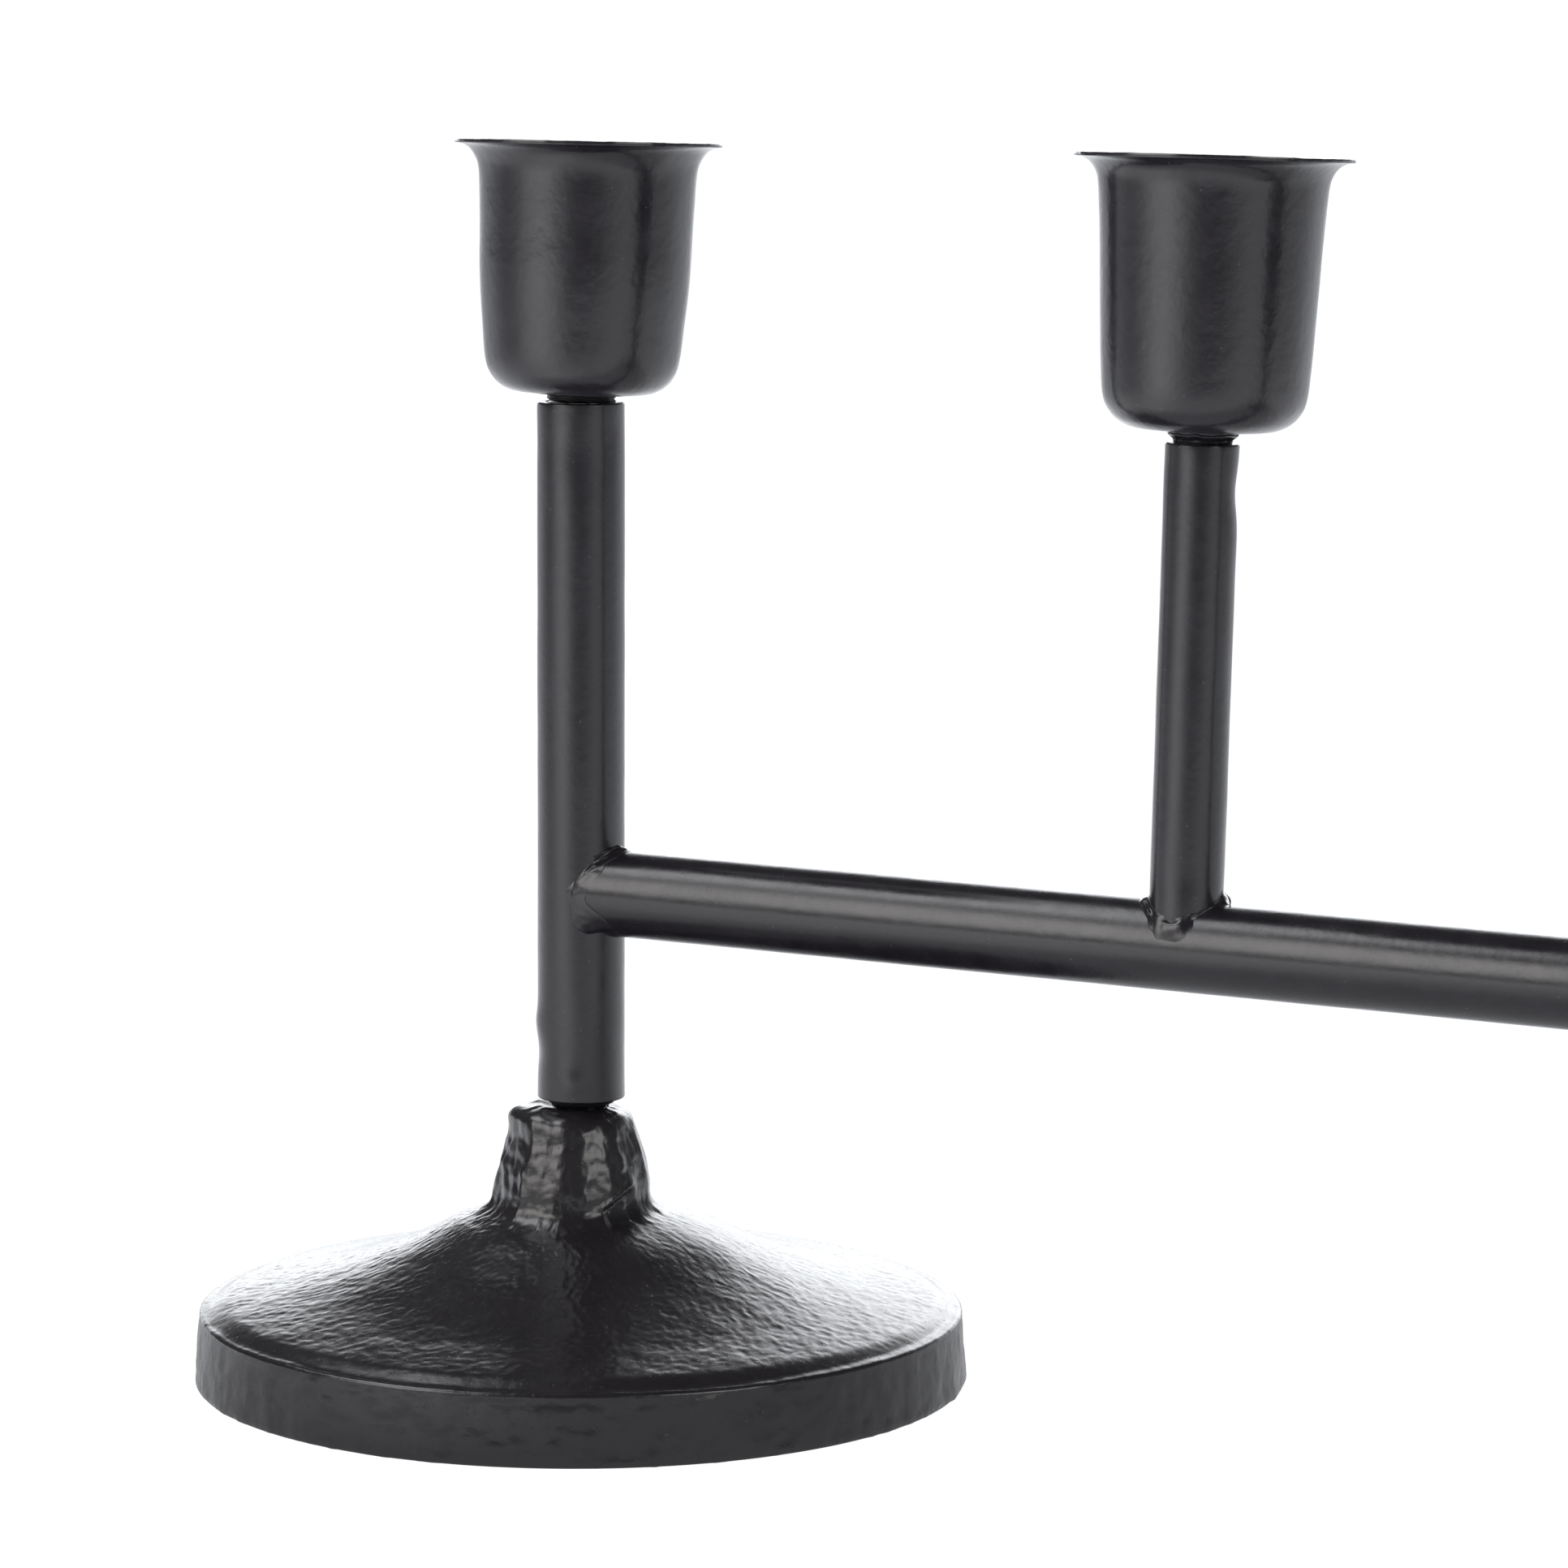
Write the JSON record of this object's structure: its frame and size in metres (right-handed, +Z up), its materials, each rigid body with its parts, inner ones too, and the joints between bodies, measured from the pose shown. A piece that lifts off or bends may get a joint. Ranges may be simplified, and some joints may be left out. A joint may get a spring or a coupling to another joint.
{
  "type": "tabletop candelabra",
  "caption": "Low black tabletop candelabra: a row of flared candle cups on short posts along a round crossbar, carried by two end posts on round cast-iron bases.",
  "frame": {"origin": "on the table, midway between the two bases, under the crossbar's middle", "axes": "+X along the crossbar, from the base in the picture towards the far end; +Y across it, away from the side pictured; +Z up"},
  "size_m": [0.4, 0.09, 0.1441],
  "materials": {
    "black_steel": "satin black paint on steel tube and drawn cups",
    "black_iron": "satin black paint over sand-cast grain",
    "zinc_steel": "bright zinc plate on hidden threaded pieces",
    "felt": "black wool felt"
  },
  "bodies": {
    "root": {"crossbar": "black_steel", "left_base_casting": "black_iron", "left_felt_pad": "felt", "left_foot_stud": "black_steel", "left_foot_washer": "zinc_steel", "left_foot_nut": "zinc_steel", "left_foot_insert": "zinc_steel", "right_base_casting": "black_iron", "right_felt_pad": "felt", "right_foot_stud": "black_steel", "right_foot_washer": "zinc_steel", "right_foot_nut": "zinc_steel", "right_foot_insert": "zinc_steel", "end_post_1": "black_steel", "post_insert_1": "zinc_steel", "cup_collar_1": "black_steel", "candle_cup_1": "black_steel", "cup_screw_1": "zinc_steel", "post_weld_1": "black_steel", "inner_post_2": "black_steel", "post_insert_2": "zinc_steel", "cup_collar_2": "black_steel", "candle_cup_2": "black_steel", "cup_screw_2": "zinc_steel", "post_weld_2": "black_steel", "inner_post_3": "black_steel", "post_insert_3": "zinc_steel", "cup_collar_3": "black_steel", "candle_cup_3": "black_steel", "cup_screw_3": "zinc_steel", "post_weld_3": "black_steel", "inner_post_4": "black_steel", "post_insert_4": "zinc_steel", "cup_collar_4": "black_steel", "candle_cup_4": "black_steel", "cup_screw_4": "zinc_steel", "post_weld_4": "black_steel", "end_post_5": "black_steel", "post_insert_5": "zinc_steel", "cup_collar_5": "black_steel", "candle_cup_5": "black_steel", "cup_screw_5": "zinc_steel", "post_weld_5": "black_steel"}
  },
  "joints": []
}
